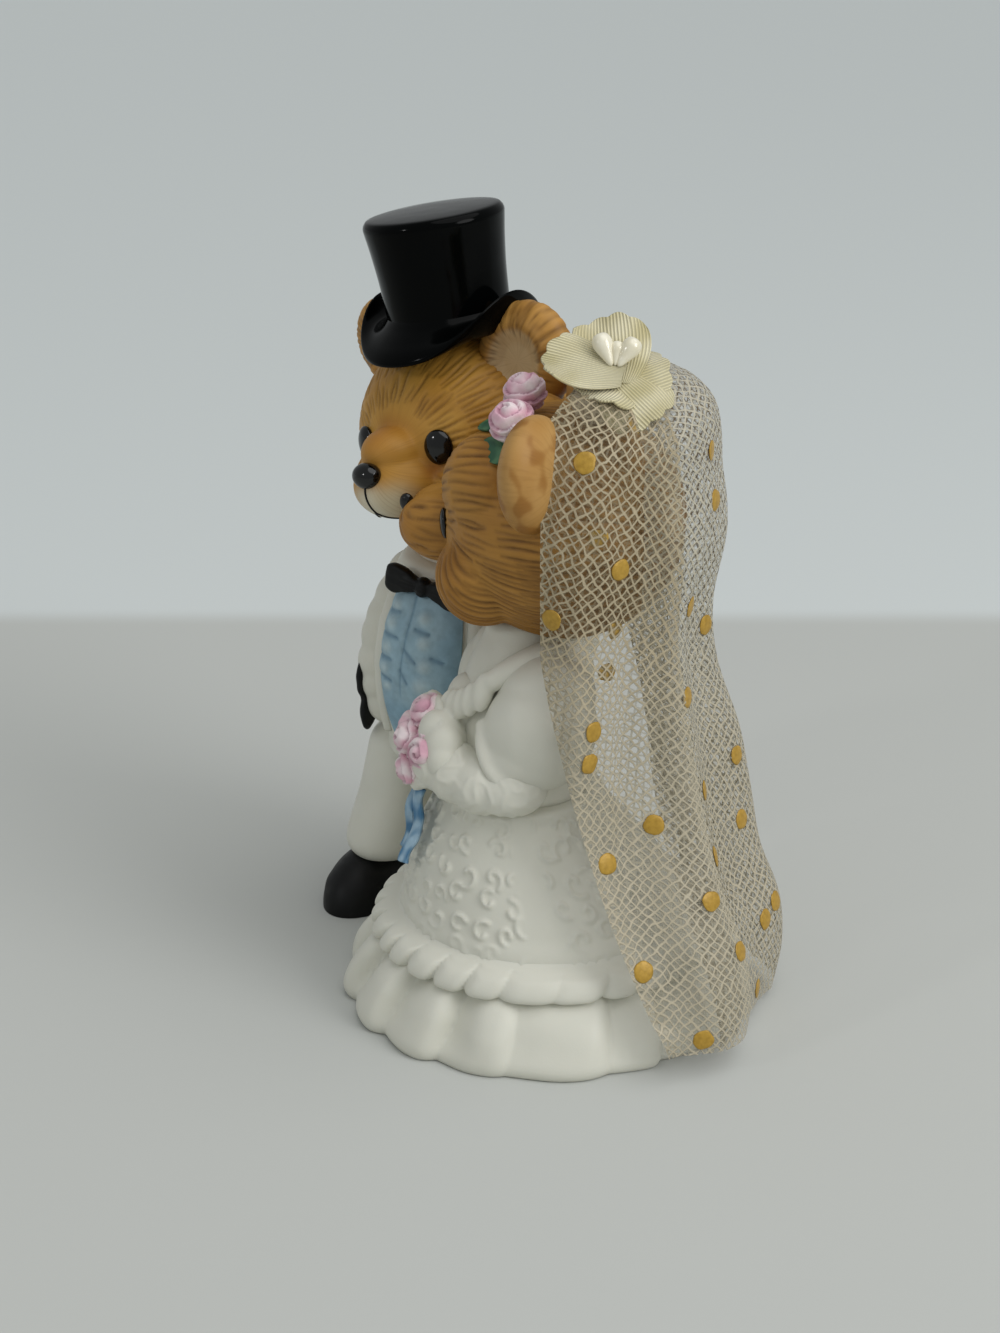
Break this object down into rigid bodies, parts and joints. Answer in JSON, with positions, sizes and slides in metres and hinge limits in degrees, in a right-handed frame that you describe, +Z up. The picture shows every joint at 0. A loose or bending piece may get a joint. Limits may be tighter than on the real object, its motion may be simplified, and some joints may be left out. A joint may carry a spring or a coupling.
{
  "type": "teddy bear wedding figurine",
  "caption": "Porcelain teddy bear groom and bride standing close, he in a top hat, she in a flounced gown with a net veil, satin flower and bouquet.",
  "frame": {"origin": "middle of the overall box, on the table plane under the couple", "axes": "+Z up, -Y the couple's front, the groom at -X and the bride at +X"},
  "size_m": [0.0986, 0.071, 0.1223],
  "materials": {
    "black_paint": "satin black paint on bisque",
    "white_bisque": "unglazed white bisque porcelain, satin matt, cast with lace relief",
    "brown_bisque": "bisque porcelain stained tan brown with darker fur strokes",
    "muzzle_bisque": "bisque porcelain, lighter tan with a cream patch under the nose",
    "black_glaze": "glossy black glaze",
    "blue_bisque": "pale blue stain with darker blue brush lines",
    "pink_bisque": "pale pink stain on bisque, darker in the petal lines",
    "green_bisque": "dark green paint on bisque",
    "net": "ecru net with stuck-on gold dots",
    "satin": "cream ribbed satin with crimped edges",
    "pearl": "pearl lacquer"
  },
  "bodies": {
    "root": {"bride_skirt": "white_bisque", "skirt_flounce": "white_bisque", "skirt_frill": "white_bisque", "bride_bodice": "white_bisque", "bride_puff_sleeve_left": "white_bisque", "bride_forearm_left": "white_bisque", "bride_paw_left": "brown_bisque", "bride_puff_sleeve_right": "white_bisque", "bride_forearm_right": "white_bisque", "bride_paw_right": "brown_bisque", "chest_ruffle": "white_bisque", "bouquet_doily": "white_bisque", "bouquet_rose_1": "pink_bisque", "bouquet_rose_2": "pink_bisque", "bouquet_rose_3": "pink_bisque", "bouquet_rose_4": "pink_bisque", "bouquet_rose_5": "pink_bisque", "bouquet_ribbon": "blue_bisque", "bride_head": "brown_bisque", "bride_muzzle": "muzzle_bisque", "bride_nose": "black_glaze", "bride_eye_left": "black_glaze", "bride_eye_right": "black_glaze", "bride_ear_left": "brown_bisque", "bride_ear_right": "brown_bisque", "hair_rose_1": "pink_bisque", "hair_rose_2": "pink_bisque", "hair_leaf_1": "green_bisque", "hair_leaf_2": "green_bisque", "veil_gather": "net", "satin_petal_1": "satin", "satin_petal_2": "satin", "satin_petal_3": "satin", "satin_petal_4": "satin", "satin_petal_5": "satin", "drop_pearl_1": "pearl", "drop_pearl_2": "pearl", "drop_pearl_3": "pearl", "veil_front_panel": "net", "veil_back_panel": "net", "groom_trousers": "white_bisque", "groom_shoe_right": "black_paint", "groom_coat": "white_bisque", "groom_shirt": "blue_bisque", "groom_sleeve_left": "white_bisque", "groom_paw_left": "brown_bisque", "groom_sleeve_right": "white_bisque", "groom_paw_right": "brown_bisque", "groom_gloves": "black_paint", "bow_tie": "black_paint", "groom_head": "brown_bisque", "groom_muzzle": "muzzle_bisque", "groom_nose": "black_glaze", "groom_eye_left": "black_glaze", "groom_eye_right": "black_glaze", "groom_ear_left": "brown_bisque", "groom_ear_right": "brown_bisque", "hat_crown": "black_glaze", "hat_brim": "black_glaze"}
  },
  "joints": []
}
